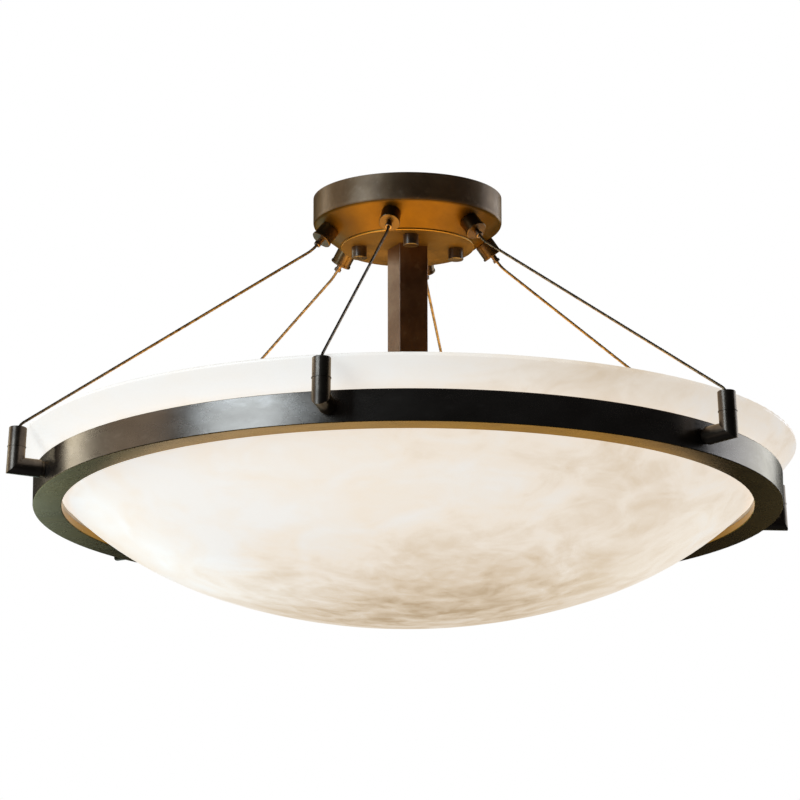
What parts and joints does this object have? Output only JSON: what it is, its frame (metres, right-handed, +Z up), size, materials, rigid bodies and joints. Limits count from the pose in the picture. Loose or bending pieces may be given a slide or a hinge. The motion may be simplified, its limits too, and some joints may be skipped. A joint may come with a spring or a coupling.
{
  "type": "semi flush ceiling light",
  "caption": "Semi flush ceiling light: a shallow glass bowl rests in a metal ring that wire ropes hang from a conical canopy, with a square stem carrying the lamps.",
  "frame": {"origin": "centre of the canopy on the ceiling plane, where the mounting plate meets the ceiling box", "axes": "+Z up into the ceiling, along the canopy's axis; -Y towards the viewer of the picture; +X to the viewer's right"},
  "size_m": [0.637, 0.6586, 0.3527],
  "materials": {
    "dark_bronze": "dark bronze, satin, with a blotchy patina",
    "alabaster_glass": "cloudy cream alabaster pattern, satin",
    "zinc_steel": "zinc plated",
    "plunger_metal": "dark bronze plated, worn bright at the rim",
    "rope_steel": "bronzed wire rope",
    "green_paint": "green passivated",
    "glazed_porcelain": "white glaze",
    "lamp_glass": "frosted, warm white",
    "clear_silicone": "translucent"
  },
  "bodies": {
    "fixture": {"mounting_plate": "zinc_steel", "ground_screw": "green_paint", "canopy_studs": "zinc_steel", "canopy_shell": "dark_bronze", "canopy_disc": "dark_bronze", "cap_nuts": "dark_bronze", "stem": "dark_bronze", "stem_pipe": "zinc_steel", "pipe_washer": "zinc_steel", "pipe_nuts": "zinc_steel", "lamp_hub": "dark_bronze", "hub_cover": "dark_bronze", "hub_cap_nut": "dark_bronze", "lampholder_nuts": "zinc_steel", "ring": "dark_bronze", "ring_screws": "zinc_steel", "bowl": "alabaster_glass", "bowl_gasket": "clear_silicone", "gripper_bushings": "zinc_steel", "bushing_nuts": "zinc_steel", "elbow_caps": "dark_bronze", "elbow_washers": "dark_bronze", "rope_ferrules": "zinc_steel", "lampholder_1": "glazed_porcelain", "bulb_1": "lamp_glass", "elbow_1": "dark_bronze", "gripper_body_1": "dark_bronze", "rope_1": "rope_steel", "lampholder_2": "glazed_porcelain", "bulb_2": "lamp_glass", "elbow_2": "dark_bronze", "gripper_body_2": "dark_bronze", "rope_2": "rope_steel", "lampholder_3": "glazed_porcelain", "bulb_3": "lamp_glass", "elbow_3": "dark_bronze", "gripper_body_3": "dark_bronze", "rope_3": "rope_steel", "lampholder_4": "glazed_porcelain", "bulb_4": "lamp_glass", "elbow_4": "dark_bronze", "gripper_body_4": "dark_bronze", "rope_4": "rope_steel", "lampholder_5": "glazed_porcelain", "bulb_5": "lamp_glass", "elbow_5": "dark_bronze", "gripper_body_5": "dark_bronze", "rope_5": "rope_steel", "lampholder_6": "glazed_porcelain", "bulb_6": "lamp_glass", "elbow_6": "dark_bronze", "gripper_body_6": "dark_bronze", "rope_6": "rope_steel"},
    "plunger_1": {"gripper_plunger_1": "plunger_metal"},
    "plunger_2": {"gripper_plunger_2": "plunger_metal"},
    "plunger_3": {"gripper_plunger_3": "plunger_metal"},
    "plunger_4": {"gripper_plunger_4": "plunger_metal"},
    "plunger_5": {"gripper_plunger_5": "plunger_metal"},
    "plunger_6": {"gripper_plunger_6": "plunger_metal"}
  },
  "joints": [
    {"name": "plunger_press_1", "type": "slide", "parent": "fixture", "child": "plunger_1", "axis": [-0.5834, -0.1968, 0.788], "range_m": [0, 0.002], "stiffness_N_per_m": 300, "springref_m": -0.003},
    {"name": "plunger_press_2", "type": "slide", "parent": "fixture", "child": "plunger_2", "axis": [-0.1213, -0.6036, 0.788], "range_m": [0, 0.002], "stiffness_N_per_m": 300, "springref_m": -0.003},
    {"name": "plunger_press_3", "type": "slide", "parent": "fixture", "child": "plunger_3", "axis": [0.4621, -0.4068, 0.788], "range_m": [0, 0.002], "stiffness_N_per_m": 300, "springref_m": -0.003},
    {"name": "plunger_press_4", "type": "slide", "parent": "fixture", "child": "plunger_4", "axis": [0.5834, 0.1968, 0.788], "range_m": [0, 0.002], "stiffness_N_per_m": 300, "springref_m": -0.003},
    {"name": "plunger_press_5", "type": "slide", "parent": "fixture", "child": "plunger_5", "axis": [0.1213, 0.6036, 0.788], "range_m": [0, 0.002], "stiffness_N_per_m": 300, "springref_m": -0.003},
    {"name": "plunger_press_6", "type": "slide", "parent": "fixture", "child": "plunger_6", "axis": [-0.4621, 0.4068, 0.788], "range_m": [0, 0.002], "stiffness_N_per_m": 300, "springref_m": -0.003}
  ]
}
